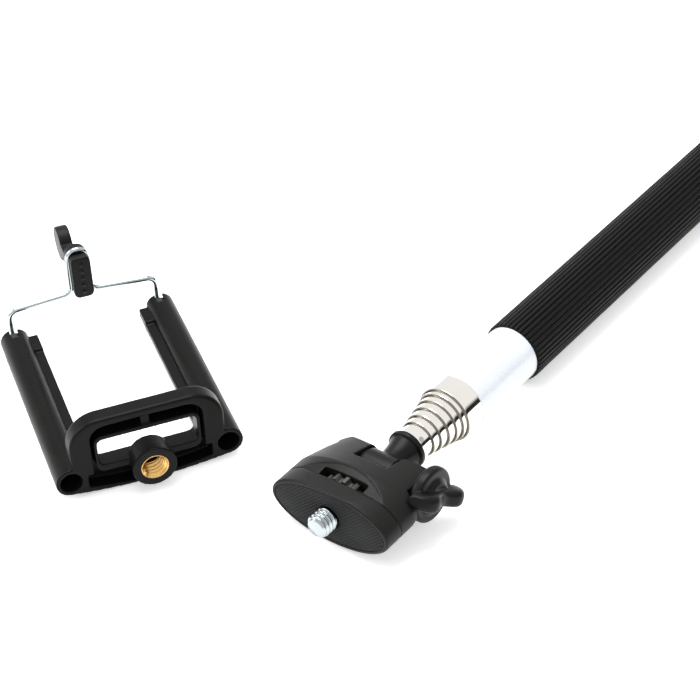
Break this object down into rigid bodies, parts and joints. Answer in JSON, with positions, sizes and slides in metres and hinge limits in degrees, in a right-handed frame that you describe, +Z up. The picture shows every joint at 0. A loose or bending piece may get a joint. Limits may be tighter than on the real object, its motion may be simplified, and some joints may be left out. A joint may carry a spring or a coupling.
{
  "type": "selfie stick",
  "caption": "Telescopic selfie stick with a tilting threaded head and a separate spring-loaded phone holder that screws onto it.",
  "frame": {"origin": "centre of the camera seat at the front of the head's rubber pad, on the axis of the camera stud", "axes": "+X runs back along the stick from the head to the grip, +Z is up from the table that the stick lies on"},
  "size_m": [0.264, 0.1538, 0.0286],
  "materials": {
    "tube_steel": "bright plated, slightly brushed",
    "bronze": "rolled bronze strip",
    "grip_rubber": "matt, ribbed",
    "label": "white film",
    "black_nylon": "fine moulded grain",
    "black_abs": "semi-gloss moulding",
    "pad_rubber": "fine ribs",
    "wheel_plastic": "moulded",
    "washer_plastic": "natural acetal",
    "steel": "zinc plated",
    "wire_steel": "nickel plated",
    "spring_steel": "drawn wire",
    "brass": "turned",
    "clip_rubber": "matt"
  },
  "bodies": {
    "handle": {"tube_7": "tube_steel", "grip_sleeve": "grip_rubber", "label_wrap": "label", "end_cap": "black_nylon"},
    "section_6": {"tube_6": "tube_steel", "bush_6": "bronze"},
    "section_5": {"tube_5": "tube_steel", "bush_5": "bronze"},
    "section_4": {"tube_4": "tube_steel", "bush_4": "bronze"},
    "section_3": {"tube_3": "tube_steel", "bush_3": "bronze"},
    "section_2": {"tube_2": "tube_steel", "bush_2": "bronze"},
    "section_1": {"tube_1": "tube_steel", "bush_1": "bronze", "neck": "black_nylon", "neck_pin": "steel"},
    "head": {"head_body": "black_nylon", "head_collar": "black_nylon", "head_pad": "pad_rubber", "head_screws": "steel", "pivot_bolt": "steel", "friction_washers": "washer_plastic", "knob_washer": "steel"},
    "stud": {"camera_stud": "steel", "thumb_wheel": "wheel_plastic"},
    "knob": {"wing_knob": "black_nylon", "knob_nut": "brass"},
    "holder": {"holder_frame": "black_abs", "brass_insert": "brass", "wire_guides": "washer_plastic", "springs": "spring_steel"},
    "bail": {"wire_bail": "wire_steel", "wire_stops": "steel", "finger_clip": "clip_rubber"}
  },
  "joints": [
    {"name": "section_6_slide", "type": "slide", "parent": "handle", "child": "section_6", "axis": [-1, 0, 0], "range_m": [0, 0.14]},
    {"name": "section_5_slide", "type": "slide", "parent": "section_6", "child": "section_5", "axis": [-1, 0, 0], "range_m": [0, 0.14]},
    {"name": "section_4_slide", "type": "slide", "parent": "section_5", "child": "section_4", "axis": [-1, 0, 0], "range_m": [0, 0.14]},
    {"name": "section_3_slide", "type": "slide", "parent": "section_4", "child": "section_3", "axis": [-1, 0, 0], "range_m": [0, 0.14]},
    {"name": "section_2_slide", "type": "slide", "parent": "section_3", "child": "section_2", "axis": [-1, 0, 0], "range_m": [0, 0.14]},
    {"name": "section_1_slide", "type": "slide", "parent": "section_2", "child": "section_1", "axis": [-1, 0, 0], "range_m": [0, 0.14]},
    {"name": "head_tilt", "type": "hinge", "parent": "section_1", "child": "head", "pos_m": [0.0205, -0.0008, 0.00005], "axis": [0, 0.9979, -0.0645], "range_deg": [-90, 90]},
    {"name": "stud_turn", "type": "hinge", "parent": "head", "child": "stud", "pos_m": [0, 0, 0], "axis": [1, 0, 0], "continuous": true},
    {"name": "knob_turn", "type": "hinge", "parent": "head", "child": "knob", "pos_m": [0.0205, -0.0008, 0.00005], "axis": [0, -0.9979, 0.0645], "range_deg": [0, 270]},
    {"name": "holder_place", "type": "slide", "parent": "handle", "child": "holder", "axis": [0, 1, 0], "range_m": [0, 0.06]},
    {"name": "bail_slide", "type": "slide", "parent": "holder", "child": "bail", "axis": [0.5224, 0.8524, -0.0231], "range_m": [0, 0.028], "stiffness_N_per_m": 400, "springref_m": -0.0125, "deforming": ["springs"]}
  ]
}
